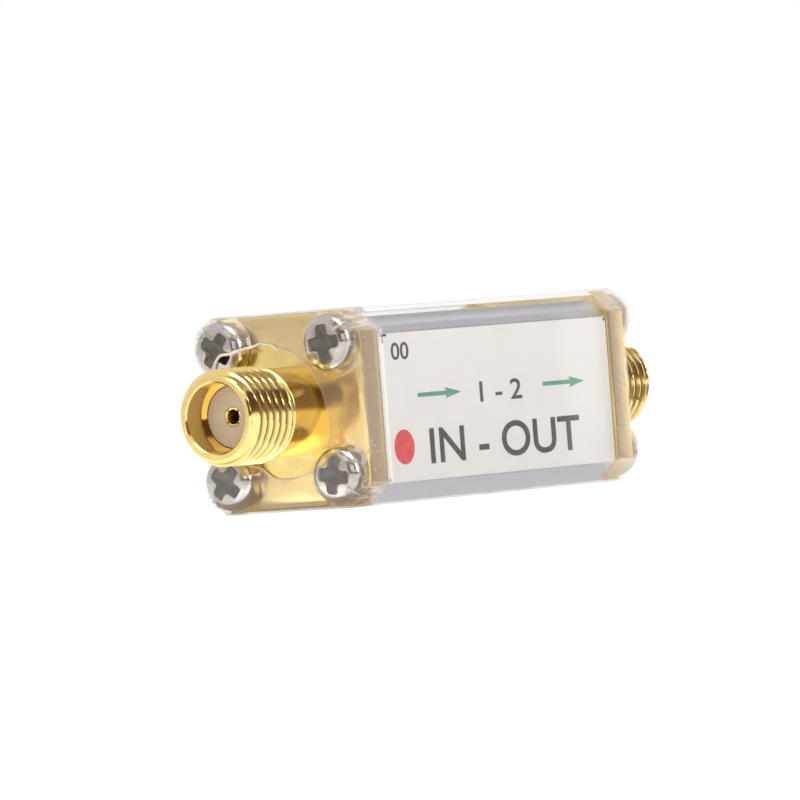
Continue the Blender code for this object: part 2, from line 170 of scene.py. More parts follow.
def joinRings(builder, rings, closed=False):
    # faces between neighbouring rings; a ring of one point ends a body, closed joins last to first
    pairs = list(zip(rings, rings[1:]))
    if closed:
        pairs.append((rings[-1], rings[0]))
    for first, second in pairs:
        count = max(len(first), len(second))
        for spot in range(count):
            beside = (spot + 1) % count
            corners = [first[spot % len(first)], first[beside % len(first)],
                       second[beside % len(second)], second[spot % len(second)]]
            builder.faces.new(list(dict.fromkeys(corners)))
    bmesh.ops.recalc_face_normals(builder, faces=builder.faces)


def turned(profile, facets, closed=False):
    # a body turned round X from (x, radius) points
    builder = bmesh.new()
    rings = []
    for x, radius in profile:
        angles = [2 * pi * spot / facets for spot in range(facets if radius else 1)]
        rings.append([builder.verts.new((x, radius * cos(angle), radius * sin(angle))) for angle in angles])
    joinRings(builder, rings, closed)
    return builder


def extruded(outline, direction):
    builder = bmesh.new()
    face = builder.faces.new([builder.verts.new(point) for point in outline])
    drawn = bmesh.ops.extrude_face_region(builder, geom=[face])
    moved = [item for item in drawn["geom"] if isinstance(item, bmesh.types.BMVert)]
    bmesh.ops.translate(builder, verts=moved, vec=direction)
    bmesh.ops.recalc_face_normals(builder, faces=builder.faces)
    return builder


def mergeInto(builder, part):
    mesh = bpy.data.meshes.new("part")
    part.to_mesh(mesh)
    part.free()
    builder.from_mesh(mesh)
    bpy.data.meshes.remove(mesh)


def chamferedSection(halfWidth, bottom, top, chamfer):
    flat, low, high = halfWidth - chamfer, bottom + chamfer, top - chamfer
    return [(halfWidth, low), (halfWidth, high), (flat, top), (-flat, top),
            (-halfWidth, high), (-halfWidth, low), (-flat, bottom), (flat, bottom)]


def cutWith(piece, builder, operation="DIFFERENCE"):
    tool = addPiece(piece.name + "Tool", builder, piece.data.materials[0])
    tool.hide_render = True
    modifier = piece.modifiers.new("cut", "BOOLEAN")
    modifier.operation = operation
    modifier.solver = "EXACT"
    modifier.object = tool


def standsFor(piece, slotName, *replaced):
    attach(piece, "root")
    if replaced:
        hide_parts(*replaced)


# Surfaces with a grain

commonLook = {  # what they share, where a look doesn't say otherwise
    "metallic": 1.0,
    "detail": 4.0,
    "contrast": 0.5,
    "stretch": (1.0, 1.0, 1.0),
    "spread": (0.3, 0.7),        # part of the pattern over which the roughness changes
    "relief": 1.0,
    "extras": {},                # other inputs of the shader
}
goldLook = {
    # Gold plating over turned brass: mirror-like and warm, with faint turning rings, soft clouds
    # where the plating is thinner and a little duller, and brown painted shade in the roots of the thread
    "pale": "#efd794",
    "dark": "#e3c476",
    "roughness": (0.10, 0.20),
    "size": 1.6 * mm,            # soft variation of the plating
    "detail": 3.0,
    "contrast": 0.55,
    "paintedShadeAndDullness": ("#5e3f1a", 0.4),    # painted shade in the bottom of the thread, and its roughness
    "marks": (0.16 * mm, 2.0, (1.0, 0.12, 0.12)),       # turning marks, coarser than the real 0.05 mm
    "depth": 0.006 * mm,
}
nickelLook = {
    # Electroless nickel over milled brass: a satin, slightly blue-grey skin with grain along the bar
    "pale": "#c4c4ca",
    "dark": "#babac1",
    "roughness": (0.30, 0.42),
    "size": 0.22 * mm,           # milling grain, drawn coarser than the real 0.05 mm
    "stretch": (0.22 / 5.0, 1.0, 1.0),      # each mark runs on for 5 mm
    "depth": 0.004 * mm,
}
steelLook = {
    # Tumbled stainless steel of small screws: bright with small scuffs, and dull in the recess,
    # where the tumbling never reaches, with painted shade darkening it there
    "pale": "#c1bab3",
    "dark": "#a49e98",
    "roughness": (0.12, 0.24),
    "size": 0.5 * mm,            # scuffs
    "contrast": 0.6,
    # painted shade in the recess, and its roughness
    "paintedShadeAndDullness": ("#4f4a47", 0.5),
    "depth": 0.006 * mm,
}
ptfeLook = {
    # Faced PTFE rod: waxy off-white that lets a little light in, with faint concentric cutting rings
    "pale": "#e0cfba",
    "dark": "#c9b59e",
    "metallic": 0.0,
    "roughness": 0.42,
    "size": 1.2 * mm,
    "detail": 3.0,
    "rings": 0.14 * mm,          # pitch of the facing cut
    "depth": 0.008 * mm,
    "relief": 0.5,
    "extras": {"IOR": 1.35, "Subsurface Weight": 0.15, "Subsurface Scale": 0.3 * mm,
               "Subsurface Radius": (1.0, 0.9, 0.8)},
}
paperLook = {
    # Thermal label stock: matt, nearly white and a little warm, with fine fibre under the film
    "pale": "#efedea",
    "dark": "#e8e5e1",
    "metallic": 0.0,
    "roughness": 0.6,
    "size": 2.4 * mm,
    "detail": 2.0,
    "marks": (0.10 * mm, 3.0, (1.0, 1.0, 1.0)),         # fibre
    "depth": 0.003 * mm,
    "relief": 0.6,
}
innerLooks = {  # inside the housing: pale, dark, metallic, roughness, pattern size and depth
    "silverPlate": ("#efede6", "#dcd9cf", 1.0, 0.24, 0.8 * mm, 0.004 * mm),     # bright, soft and white
    "groundSteel": ("#b4b4b6", "#9b9b9e", 1.0, 0.42, 0.2 * mm, 0.006 * mm),     # even satin grey
    "groundGarnet": ("#3b3b3e", "#2e2e31", 0.0, 0.50, 0.3 * mm, 0.006 * mm),    # sliced, dull near black
    "sinteredMagnet": ("#5c5c60", "#47474b", 0.0, 0.62, 0.25 * mm, 0.015 * mm),     # grainy charcoal
    "mattAlumina": ("#ebebe6", "#dedfd8", 0.0, 0.50, 0.3 * mm, 0.006 * mm),     # fired, chalky white
}
innerSwing = 0.06                # how far the inner pieces' roughness swings to each side
inkLook = {
    "green": "#5ea284",
    "red": "#dc4a54",
    "grey": "#4a4849",
    "patch": 0.35 * mm,
}


def makeSurface(name, look):
    # two shades in patches of a real size, a polish that follows them, a relief of the same grain, of
    # finer marks or of rings, and painted shade with a duller polish where the mesh's grime
    # attribute is high
    look = {**commonLook, **look}
    material, tree, place = newMaterial(name)
    stretched = addNode(tree, "Mapping", {"Vector": place, "Scale": look["stretch"]})
    grain = addNode(tree, "TexNoise", {"Vector": stretched, "Scale": 1 / look["size"],
                                       "Detail": look["detail"], "Roughness": look["contrast"]})
    color = addNode(tree, "Mix", {"Factor": grain, "A": srgb(look["pale"]), "B": srgb(look["dark"])},
                    data_type="RGBA")
    values = {"grain": grain, "height": grain, "rough": look["roughness"]}
    if isinstance(look["roughness"], tuple):
        addSteps(tree, values, [("rough", "RANGE", "grain", *look["spread"], *look["roughness"])])
    # painted shade: a darker colour mixed in by the mesh's attribute, with a duller roughness
    if "paintedShadeAndDullness" in look:
        shade, dullness = look["paintedShadeAndDullness"]
        grime = values["grime"] = addNode(tree, "Attribute", attribute_name="grime").outputs["Fac"]
        color = addNode(tree, "Mix", {"Factor": grime, "A": color, "B": srgb(shade)}, data_type="RGBA")
        addSteps(tree, values, [("rough", "RANGE", "grime", 0.0, 1.0, "rough", dullness)])
    if "marks" in look:
        size, detail, stretch = look["marks"]
        across = addNode(tree, "Mapping", {"Vector": place, "Scale": stretch})
        values["height"] = addNode(tree, "TexNoise", {"Vector": across, "Scale": 1 / size, "Detail": detail})
    if "rings" in look:
        axes = addNode(tree, "SeparateXYZ", {"Vector": place}).outputs
        flat = addNode(tree, "CombineXYZ", {"Y": axes["Y"], "Z": axes["Z"]})
        values["radius"] = addNode(tree, "VectorMath", {0: flat}, operation="LENGTH")
        addSteps(tree, values, [("lap", "MULTIPLY", "radius", 2 * pi / look["rings"]),
                                ("height", "SINE", "lap")])
    relief = addNode(tree, "Bump", {"Height": values["height"], "Distance": look["depth"],
                                    "Strength": look["relief"]})
    return closeMaterial(material, addNode(tree, "BsdfPrincipled", {
        "Base Color": color, "Metallic": look["metallic"], "Roughness": values["rough"],
        "Normal": relief, **look["extras"]}))


def makeInk(name, code):
    # Thermal-transfer ink: flat and slightly waxy, a little uneven where it took to the fibre
    material, tree, place = newMaterial(name)
    full = srgb(code)
    thin = tuple(min(1.0, channel * 1.25 + 0.02) for channel in full[:3]) + (1.0,)
    values = {"uneven": addNode(tree, "TexNoise", {
        "Vector": place, "Scale": 1 / inkLook["patch"], "Detail": 3.0})}
    addSteps(tree, values, [("share", "RANGE", "uneven", 0.45, 0.8)])
    color = addNode(tree, "Mix", {"Factor": values["share"], "A": full, "B": thin}, data_type="RGBA")
    return closeMaterial(material, addNode(tree, "BsdfPrincipled", {"Base Color": color, "Roughness": 0.5}))


# Shrink film

filmLook = {
    "barHaze": 0.02,             # how much of its own body shows, over each part of the device
    "sideHaze": 0.26,
    "faceHaze": 0.11,
    "headHaze": 0.05,            # stretched thin over the screw heads
    # painted highlight: a near-white band along the bar's top edge, for the bright surroundings reflected
    # there
    "paintedTopHighlight": 0.85,
    "body": "#dccfbc",
    "paintedTopHighlightTint": "#f2f2f5",
    "bodyRoughness": 0.35,
    "rippleSize": 2.2 * mm,
    "rippleDepth": 0.02 * mm,
    "speckSize": 0.85 * mm,      # trapped air and dust over the flanges' sides
    "speckPatch": 3.5 * mm,
    "foldSize": 0.45 * mm,       # painted glints along the creases at the flanges' corners
    "foldSlant": 1.1,            # radians
    "shine": 0.035,              # mirror share of one face seen square on, as plastic has
    "edgeShine": 0.9,
    "roughness": 0.06,
    "zones": {  # where one look turns into the next (mm)
        "side": (13.35, 13.6), "face": (15.1, 15.4), "head": (15.8, 16.5),
        "top": (6.07, 6.13), "topEnd": (12.9, 13.5), "topSide": (4.8, 5.05),
        "bubbles": (13.4, 13.6), "corner": (4.9, 5.2), "nearFlange": (-13.4, -13.7), "slack": (12.5, 14.0),
    },
    # colour of the film's cut edge and its painted glint
    "edge": "#fbf1dd",
    "edgePatch": 0.8 * mm,
    "edgeGlintZone": (-0.8 * mm, 1.6 * mm),      # the cut edge's painted glint rises across this span of Y
}


def makeShrinkFilm():
    # Clear heat-shrunk PVC film: glossy, almost invisible where it lies flat on the label, rippled and
    # milky where it was stretched over the flanges, with small trapped bubbles there; pale streaks are
    # painted on its creases as glints, and a near-white band along the bar's top edge as a highlight
    material, tree, place = newMaterial("clearShrinkFilm")
    look = filmLook
    zones = {name: (first * mm, last * mm) for name, (first, last) in look["zones"].items()}
    axes = addNode(tree, "SeparateXYZ", {"Vector": place}).outputs
    values = {"x": axes["X"], "y": axes["Y"], "z": axes["Z"]}
    addSteps(tree, values, [
        ("reach", "ABSOLUTE", "x"),
        ("aside", "ABSOLUTE", "y"),
        ("level", "ABSOLUTE", "z"),
        ("atEnd", "RANGE", "reach", *zones["side"], look["barHaze"], look["sideHaze"]),
        ("onFace", "RANGE", "reach", *zones["face"]),
        ("overHead", "RANGE", "reach", *zones["head"], look["faceHaze"], look["headHaze"]),
        ("ends", "RANGE", "onFace", 0.0, 1.0, "atEnd", "overHead"),
        # painted highlight along the bar's top edge
        ("atTop", "RANGE", "z", *zones["top"]),
        ("onBar", "RANGE", "reach", *zones["topEnd"], look["paintedTopHighlight"], 0.0),
        ("offTop", "RANGE", "aside", *zones["topSide"], 0.0, "onBar"),
        ("strip", "MULTIPLY", "atTop", "offTop"),
        ("hazeAndTopHighlight", "MAXIMUM", "ends", "strip"),
        ("bearing", "ARCTAN2", "z", "y"),
        ("girth", "MULTIPLY", "bearing", body["housingHalf"] / 2),
        ("across", "SUBTRACT", "aside", "level"),
        ("nearer", "MINIMUM", "aside", "level"),
        ("corner", "RANGE", "nearer", *zones["corner"]),
        ("atFlange", "RANGE", "x", *zones["nearFlange"]),
        ("crumpled", "MULTIPLY", "corner", "atFlange"),
        ("slack", "RANGE", "reach", *zones["slack"], 0.25, 1.0),
    ])
    unrolled = addNode(tree, "CombineXYZ", {"X": axes["X"], "Y": values["girth"]})
    values["cells"] = addNode(tree, "TexVoronoi", {
        "Vector": unrolled, "Randomness": 1.0, "Scale": 1 / look["speckSize"]}, voronoi_dimensions="2D")
    values["patches"] = addNode(tree, "TexNoise", {
        "Vector": place, "Scale": 1 / look["speckPatch"], "Detail": 2.0})
    folds = addNode(tree, "CombineXYZ", {"X": axes["X"], "Y": values["across"]})
    slanted = addNode(tree, "Mapping", {
        "Vector": folds, "Rotation": (0.0, 0.0, look["foldSlant"]), "Scale": (0.25, 1.0, 1.0)})
    values["folds"] = addNode(tree, "TexNoise", {
        "Vector": slanted, "Scale": 1 / look["foldSize"], "Detail": 3.0})
    ripple = addNode(tree, "TexNoise", {
        "Vector": place, "Scale": 1 / look["rippleSize"], "Detail": 2.0, "Roughness": 0.5})
    relief = addNode(tree, "Bump", {
        "Height": ripple, "Distance": look["rippleDepth"], "Strength": values["slack"]})
    values["facing"] = addNode(tree, "LayerWeight", {"Blend": 0.5, "Normal": relief}).outputs["Facing"]
    addSteps(tree, values, [
        ("outer", "RANGE", "reach", *zones["bubbles"], 0.0, 0.8),
        ("density", "RANGE", "onFace", 0.0, 1.0, "outer", 0.0),
        ("sparse", "RANGE", "patches", 0.5, 0.6),
        ("strength", "MULTIPLY", "sparse", "density"),
        ("speck", "RANGE", "cells", 0.03, 0.08, 1.0, 0.0),
        ("bubbles", "MULTIPLY", "speck", "strength"),
        # painted glints: pale streaks along the folds at the flanges' corners
        ("streak", "RANGE", "folds", 0.5, 0.62, 0.0, 0.55),
        ("creaseGlints", "MULTIPLY", "crumpled", "streak"),
        ("marks", "MAXIMUM", "bubbles", "creaseGlints"),
        ("marked", "ADD", "hazeAndTopHighlight", "marks"),
        ("cover", "MINIMUM", "marked", 1.0),
        ("steep", "POWER", "facing", 5.0),
        ("share", "RANGE", "steep", 0.0, 1.0, look["shine"], look["edgeShine"]),
    ])
    clear = addNode(tree, "BsdfTransparent")
    # the painted highlight's colour on the top band
    tint = addNode(tree, "Mix", {
        "Factor": values["strip"], "A": srgb(look["body"]), "B": srgb(look["paintedTopHighlightTint"])}, data_type="RGBA")
    milky = addNode(tree, "BsdfPrincipled", {"Base Color": tint, "Roughness": look["bodyRoughness"]})
    inside = addNode(tree, "MixShader", {"Fac": values["cover"], 1: clear, 2: milky})
    gloss = addNode(tree, "BsdfPrincipled", {"Base Color": srgb("#ffffff"), "Metallic": 1.0,
                                             "Roughness": look["roughness"], "Normal": relief})
    whole = addNode(tree, "MixShader", {"Fac": values["share"], 1: inside, 2: gloss})
    return closeMaterial(material, whole)


def makeGlintingEdge():
    # The film's cut edge, a pale cream rim: a painted glint, nearly opaque on the side away from the
    # label, where it catches the light, and hardly there on the other side
    material, tree, place = newMaterial("milkyFilmEdge")
    axes = addNode(tree, "SeparateXYZ", {"Vector": place}).outputs
    uneven = addNode(tree, "TexNoise", {"Vector": place, "Scale": 1 / filmLook["edgePatch"], "Detail": 2.0})
    values = {"y": axes["Y"], "uneven": uneven}
    addSteps(tree, values, [
        ("litSide", "RANGE", "y", *filmLook["edgeGlintZone"], 0.10, 1.0),
        ("patchy", "RANGE", "uneven", 0.3, 0.7, 0.55, 0.95),
        ("cover", "MULTIPLY", "litSide", "patchy"),
    ])
    return closeMaterial(material, addNode(tree, "BsdfPrincipled", {
        "Base Color": srgb(filmLook["edge"]), "Roughness": 0.25, "Alpha": values["cover"]}))


gold = makeSurface("turnedGoldPlate", goldLook)
nickel = makeSurface("satinNickelPlate", nickelLook)
steel = makeSurface("polishedStainlessSteel", steelLook)
ptfe = makeSurface("turnedPtfe", ptfeLook)
paper = makeSurface("mattLabelPaper", paperLook)
film = makeShrinkFilm()
glintingEdge = makeGlintingEdge()
greenInk = makeInk("greenPrint", inkLook["green"])
redInk = makeInk("redPrint", inkLook["red"])
greyInk = makeInk("darkGreyPrint", inkLook["grey"])
inner = {}
for finishName, (pale, dark, metallic, dullness, grainSize, grainDepth) in innerLooks.items():
    inner[finishName] = makeSurface(finishName, {
        "pale": pale, "dark": dark, "metallic": metallic, "size": grainSize, "depth": grainDepth,
        "roughness": (dullness - innerSwing, dullness + innerSwing), "spread": (0.2, 0.8), "relief": 0.7})
print("finishes made")


# Housing and inner pieces, which keep their solids

keptFinishes = {
    "housing": nickel, "housing_lid": nickel,
    "centre_conductor": inner["silverPlate"], "front_ground_plate": inner["silverPlate"],
    "back_ground_plate": inner["silverPlate"], "front_pole_piece": inner["groundSteel"],
    "back_pole_piece": inner["groundSteel"], "front_ferrite": inner["groundGarnet"],
    "back_ferrite": inner["groundGarnet"], "front_magnet": inner["sinteredMagnet"],
    "back_magnet": inner["sinteredMagnet"], "load_resistor": inner["mattAlumina"],
}
for nodeName, finish in keptFinishes.items():
    for slot in cadNodes[nodeName].material_slots:
        slot.material = finish
print("kept solids finished")


# Geometry trees

def newTree(name, sockets):
    # a geometry tree with the inputs given by title and kind, and what they hold
    tree = bpy.data.node_groups.new(name, "GeometryNodeTree")
    for title, kind in sockets.items():
        tree.interface.new_socket(name=title, in_out="INPUT", socket_type="NodeSocket" + kind)
    tree.interface.new_socket(name="Geometry", in_out="OUTPUT", socket_type="NodeSocketGeometry")
    return tree, addNode(tree, "NodeGroupInput").outputs


def closeTree(tree, shape, metal):
    real = addNode(tree, "GeometryNodeRealizeInstances", {"Geometry": shape})
    dressed = addNode(tree, "GeometryNodeSetMaterial", {"Geometry": real, "Material": metal})
    addNode(tree, "NodeGroupOutput", {"Geometry": dressed})
    return tree


def grownMesh(name, tree, settings, start=None):
    # the mesh that a geometry tree gives, as a plain object
    piece = addObject(name, start or bpy.data.meshes.new(name))
    modifier = piece.modifiers.new("grow", "NODES")
    modifier.node_group = tree
    for entry in tree.interface.items_tree:
        if entry.in_out == "INPUT" and entry.name in settings:
            modifier[entry.identifier] = settings[entry.name]
    return plainMesh(piece)


# Threaded sockets

socket = {
    "tubeStart": 14.4 * mm,      # inside the flange
    "tip": 23.22 * mm,
    "neckRadius": 2.95 * mm,
    "crestRadius": 3.175 * mm,
    "rimRadius": 2.70 * mm,
    "threadStart": 18.42 * mm,
    "leadIn": 0.50 * mm,
    "pitch": 25.4 / 36 * mm,     # 1/4-36
    "threadDepth": 0.42 * mm,
    "threadPhase": 0.42,         # where on the turn the thread starts
    "crestFlat": 1 / 8,          # share of the pitch
    "rootFlat": 1 / 12,
    "rimWidth": 0.30 * mm,
    "boreRadius": 2.3 * mm,
    "plugDepth": 1.98 * mm,
    "countersink": 0.10 * mm,
    "lineRadius": 2.08 * mm,
    "edgeBreak": 0.09 * mm,
    "sharpFrom": 28,             # degrees between faces from which an edge is drawn sharp
    "shadedFrom": 2.6 * mm,       # radius past which the thread gets painted shade
    "shadedShare": (0.25, 0.75),  # share of the thread's depth from which the painted shade starts, and is full
    "facets": 96,
    "holeFacets": 32,
    "ringsAlong": 150,
    "seamReach": 0.001 * mm,
}
treeSizes = {title: socket[key] for title, key in {
    "Start": "tubeStart", "Tip": "tip", "Neck Radius": "neckRadius", "Crest Radius": "crestRadius",
    "Rim Radius": "rimRadius", "Thread Start": "threadStart", "Lead In": "leadIn", "Pitch": "pitch",
    "Thread Depth": "threadDepth"}.items()}


def makeBarrelTree():
    # A tube whose radius follows the neck, the helix of the thread and the lead-in at the tip
    tree, given = newTree("threadedBarrel", {**dict.fromkeys(treeSizes, "Float"), "Metal": "Material"})
    position = addNode(tree, "GeometryNodeInputPosition")
    gridPlace = addNode(tree, "SeparateXYZ", {"Vector": position}).outputs
    values = {title: given[title] for title in treeSizes}
    values.update(gridX=gridPlace["X"], angle=gridPlace["Y"])
    addSteps(tree, values, [
        ("length", "SUBTRACT", "Tip", "Start"),
        ("ends", "ADD", "Tip", "Start"),
        ("middle", "DIVIDE", "ends", 2.0),
        ("along", "ADD", "gridX", "middle"),
        ("turns", "DIVIDE", "angle", 2 * pi),
        ("laps", "DIVIDE", "along", "Pitch"),
        ("helix", "SUBTRACT", "laps", "turns"),
        ("shifted", "ADD", "helix", socket["threadPhase"]),
        ("phase", "FRACT", "shifted"),
        ("offCentre", "SUBTRACT", "phase", 0.5),
        ("aside", "ABSOLUTE", "offCentre"),
        ("fromCrest", "MULTIPLY", "aside", 2.0),
        ("cutShare", "RANGE", "fromCrest", socket["crestFlat"], 1 - socket["rootFlat"]),
        ("fullFrom", "ADD", "Thread Start", "Pitch"),
        ("fade", "RANGE", "along", "Thread Start", "fullFrom"),
        ("fadedCut", "MULTIPLY", "cutShare", "fade"),
        ("groove", "MULTIPLY", "fadedCut", "Thread Depth"),
        ("threadRadius", "SUBTRACT", "Crest Radius", "groove"),
        ("intoThread", "SUBTRACT", "along", "Thread Start"),
        ("ramp", "MAXIMUM", "intoThread", 0.0),
        ("neckRamp", "ADD", "Neck Radius", "ramp"),
        ("leadFrom", "SUBTRACT", "Tip", "Lead In"),
        ("leadRadius", "RANGE", "along", "leadFrom", "Tip", "Crest Radius", "Rim Radius"),
        ("neckBound", "MINIMUM", "threadRadius", "neckRamp"),
        ("radius", "MINIMUM", "neckBound", "leadRadius"),
        ("cosine", "COSINE", "angle"),
        ("sine", "SINE", "angle"),
        ("placeY", "MULTIPLY", "radius", "cosine"),
        ("placeZ", "MULTIPLY", "radius", "sine"),
    ])
    grid = addNode(tree, "GeometryNodeMeshGrid", {
        "Size X": values["length"], "Size Y": 2 * pi,
        "Vertices X": socket["ringsAlong"], "Vertices Y": socket["facets"] + 1})
    wrapped = addNode(tree, "CombineXYZ", {
        "X": values["along"], "Y": values["placeY"], "Z": values["placeZ"]})
    tube = addNode(tree, "GeometryNodeSetPosition", {"Geometry": grid, "Position": wrapped})
    seam = addNode(tree, "GeometryNodeMergeByDistance", {"Geometry": tube, "Distance": socket["seamReach"]})
    return closeTree(tree, seam, given["Metal"])


def makeConnector():
    # flange, threaded barrel, bore and screw holes, built for the output end
    half = body["flangeSide"] / 2
    section = chamferedSection(half, -half, half, body["flangeCut"])
    outline = [(body["flangeBack"], y, z) for y, z in section]
    flange = addPiece("flange", extruded(outline, (body["flangeFace"] - body["flangeBack"], 0, 0)), gold)
    addBevel(flange, socket["edgeBreak"])
    barrel = grownMesh("barrel", makeBarrelTree(), {"Metal": gold, **treeSizes})
    builder = bmesh.new()
    builder.from_mesh(barrel.data)
    bpy.data.objects.remove(barrel)
    bmesh.ops.holes_fill(builder, edges=[edge for edge in builder.edges if edge.is_boundary])
    bmesh.ops.recalc_face_normals(builder, faces=builder.faces)
    cutWith(flange, builder, "UNION")
    tip, reach = socket["tip"], body["pastFace"]
    back, front = body["flangeBack"] - reach, body["flangeFace"] + reach
    mouth = socket["rimRadius"] - socket["rimWidth"]
    shoulder = tip - socket["plugDepth"]
    pastMouth = mouth + (mouth - socket["boreRadius"]) * reach / socket["countersink"]
    cutWith(flange, turned([
        (back, 0), (back, socket["lineRadius"]), (shoulder, socket["lineRadius"]),
        (shoulder, socket["boreRadius"]), (tip - socket["countersink"], socket["boreRadius"]),
        (tip + reach, pastMouth), (tip + reach, 0)], socket["facets"]))
    holes = bmesh.new()
    for y in (-1, 1):
        for z in (-1, 1):
            drill = turned([(back, 0), (back, body["holeRadius"]), (front, body["holeRadius"]), (front, 0)],
                           socket["holeFacets"])
            bmesh.ops.translate(drill, verts=drill.verts, vec=(0, y * body["holePitch"] / 2,
                                                               z * body["holePitch"] / 2))
            mergeInto(holes, drill)
    cutWith(flange, holes)
    connector = plainMesh(flange, socket["sharpFrom"])
    grime = connector.data.attributes.new("grime", "FLOAT", "POINT")     # painted shade: 1 in the roots of the thread
    unshaded, full = socket["shadedShare"]
    for index, vertex in enumerate(connector.data.vertices):
        radius = hypot(vertex.co.y, vertex.co.z)
        depth = (socket["crestRadius"] - radius) / socket["threadDepth"]
        threaded = (socket["threadStart"] < vertex.co.x < tip - socket["leadIn"]
                    and radius > socket["shadedFrom"])
        grime.data[index].value = clamped((depth - unshaded) / (full - unshaded)) if threaded else 0.0
    return connector


def twoEnds(piece, name, slotName, node):
    # the output piece as built, and a copy turned half round Z for the input end
    piece.name = piece.data.name = "output" + name
    twin = addObject("input" + name, piece.data.copy())
    for vertex in twin.data.vertices:
        x, y, z = vertex.co
        vertex.co = (-x, -y, z)
    twin.data.name = twin.name
    standsFor(piece, slotName, "output_" + node)
    standsFor(twin, slotName, "input_" + node)


twoEnds(makeConnector(), "Socket", "gold_plate", "connector")
print("threaded sockets made")


# Insulator and centre contact

core = {
    "face": 21.24 * mm,          # plug shoulder
    "wall": 6.6 * mm,            # end of the pocket inside the housing
    "dielectricRadius": 2.05 * mm,
    "dielectricFacets": 80,
    "pinRadius": 0.635 * mm,
    "pinFacets": 48,
    "pinFit": 0.02 * mm,
    "holeRadius": 0.47 * mm,
    "holeDepth": 3.0 * mm,
    "edge": 0.06 * mm,
    "slotWidth": 0.10 * mm,
    "slotTurn": 40,              # degrees that the tine slots are turned round the axis
    "slotDepth": 2.5 * mm,
    "collarRadius": 0.85 * mm,
    "collarLength": 0.4 * mm,
    "tailLength": 0.7 * mm,
    "stripSlot": 0.19 * mm,
}


def makeDielectric():
    face, wall, edge = core["face"], core["wall"], core["edge"]
    inside, outside = core["pinRadius"] + core["pinFit"], core["dielectricRadius"]
    profile = [(wall, inside), (wall, outside), (face - edge, outside), (face, outside - edge),
               (face, inside)]
    return addPiece("dielectric", turned(profile, core["dielectricFacets"], closed=True), ptfe)


def makeContact():
    face, hole, radius, edge = core["face"], core["holeRadius"], core["pinRadius"], core["edge"]
    collar = core["wall"] - body["gap"]
    collarEnd = collar - core["collarLength"]
    tailEnd = collarEnd - core["tailLength"]
    holeEnd = face - core["holeDepth"]
    profile = [(holeEnd - hole / 2, 0), (holeEnd, hole), (face - edge, hole),
               (face - edge / 3, hole + edge / 3), (face, hole + edge), (face, radius - edge / 2),
               (face - edge / 2, radius), (collar, radius), (collar, core["collarRadius"]),
               (collarEnd, core["collarRadius"]), (collarEnd, radius), (tailEnd, radius), (tailEnd, 0)]
    contact = addPiece("contact", turned(profile, core["pinFacets"]), gold)
    slot, past = core["slotWidth"] / 2, body["pastFace"]
    reach = core["collarRadius"] + past
    start, end = face - core["slotDepth"], face + past
    cross = [(reach, -slot), (reach, slot), (slot, slot), (slot, reach), (-slot, reach), (-slot, slot),
             (-reach, slot), (-reach, -slot), (-slot, -slot), (-slot, -reach), (slot, -reach), (slot, -slot)]
    tilt = radians(core["slotTurn"])
    outline = [(start, y * cos(tilt) - z * sin(tilt), y * sin(tilt) + z * cos(tilt)) for y, z in cross]
    cutWith(contact, extruded(outline, (end - start, 0, 0)))
    strip, first = core["stripSlot"] / 2, tailEnd - past
    opening = [(first, -strip, -reach), (first, strip, -reach), (first, strip, reach), (first, -strip, reach)]
    cutWith(contact, extruded(opening, (collarEnd - first, 0, 0)))
    return plainMesh(contact)


twoEnds(makeDielectric(), "Dielectric", "ptfe", "dielectric")
twoEnds(makeContact(), "Contact", "gold_plate", "contact")
print("insulators and contacts made")


# Flange screws

screw = {
    "length": 5.0 * mm,
    "shankRadius": 1.0 * mm,
    "crownHeight": 0.75 * mm,
    "crownFlatness": 0.75,
    "crownSteps": 12,
    "edge": 0.07 * mm,
    "facets": 64,
    "recessDepth": 0.95 * mm,
    "recessPoint": 1.12,         # the recess ends in a point at this share of its depth
    "recessBreak": 0.045 * mm,
    "breakFrom": 38,             # degrees between faces from which an edge is rounded, or drawn sharp
    "sharpFrom": 35,
    "recessReach": 1.36 * mm,
    "recessFloor": 0.3 * mm,     # above the seat
    "domePower": 2.6,            # the crown as a plain curve, to measure the painted shade's depth from
    "shadedDepth": (0.04 * mm, 0.16 * mm),    # below the crown, where the painted shade starts and is full
    "rings": [  # depth share, half span, half width, petal rounding, end rounding (mm)
        (-0.3, 1.30, 0.47, 0.26, 0.24),
        (0.0, 1.25, 0.44, 0.24, 0.22),
        (0.45, 1.14, 0.40, 0.22, 0.20),
        (0.62, 0.80, 0.33, 0.16, 0.14),
        (1.0, 0.42, 0.22, 0.06, 0.06),
    ],
    "arcSteps": 4,
    "turns": {  # degrees, by (end, Y side, Z side)
        (-1, -1, 1): 5, (-1, 1, 1): 55, (-1, -1, -1): -9, (-1, 1, -1): 50,
        (1, 1, 1): 20, (1, -1, 1): 35, (1, 1, -1): 12, (1, -1, -1): 50,
    },
}


def crossOutline(halfSpan, halfWidth, petal, rounding):
    # a cross whose arms end rounded and whose inner corners bulge in as petals
    points = []
    for quarter in range(4):
        arcs = [((halfSpan - rounding, rounding - halfWidth), rounding, -90, 0),
                ((halfSpan - rounding, halfWidth - rounding), rounding, 0, 90),
                ((halfWidth + petal, halfWidth + petal), petal, 270, 180)]
        for (centreY, centreZ), radius, first, last in arcs:
            for step in range(screw["arcSteps"] + 1):
                angle = radians(first + (last - first) * step / screw["arcSteps"])
                y = centreY + radius * cos(angle)
                z = centreZ + radius * sin(angle)
                for turn in range(quarter):
                    y, z = -z, y
                points.append((y * mm, z * mm))
    return points


